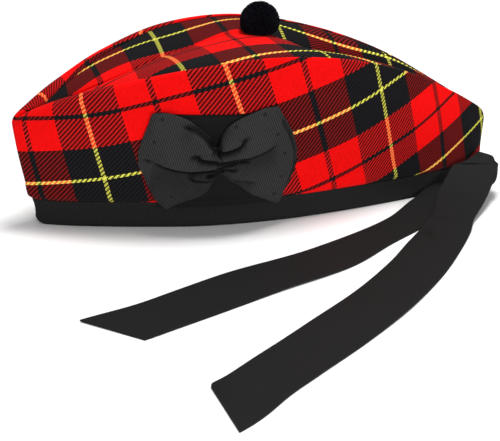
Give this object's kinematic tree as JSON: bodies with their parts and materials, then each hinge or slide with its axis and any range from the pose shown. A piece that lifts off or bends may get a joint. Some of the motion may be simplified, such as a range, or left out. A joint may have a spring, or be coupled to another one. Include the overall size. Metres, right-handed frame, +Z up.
{
  "type": "glengarry",
  "caption": "Side cap in checked wool with a creased boat-shaped crown, black bound rim, wool toorie, twisted-ribbon cockade and loose ribbons from the back.",
  "frame": {"origin": "bottom centre of the whole object, with its ribbons laid out on the floor", "axes": "+Z up from the floor, -X towards the front of the cap, -Y towards the wearer's left, where the cockade is and the ribbons lie"},
  "size_m": [0.2966, 0.3374, 0.1221],
  "materials": {
    "tartan_wool": "two-and-two twill wool in a red, black and yellow check",
    "black_binding": "ribbed black binding ribbon with a soft sheen",
    "black_wool": "fuzzy cut wool",
    "black_ribbon": "fine ribbed black ribbon, matt"
  },
  "bodies": {
    "root": {"left_side_panel": "tartan_wool", "right_side_panel": "tartan_wool", "crown_top": "tartan_wool", "band": "black_binding", "toorie": "black_wool", "cockade_backing": "black_ribbon", "cockade_bow": "black_ribbon", "upper_ribbon": "black_ribbon", "lower_ribbon": "black_ribbon"}
  },
  "joints": []
}
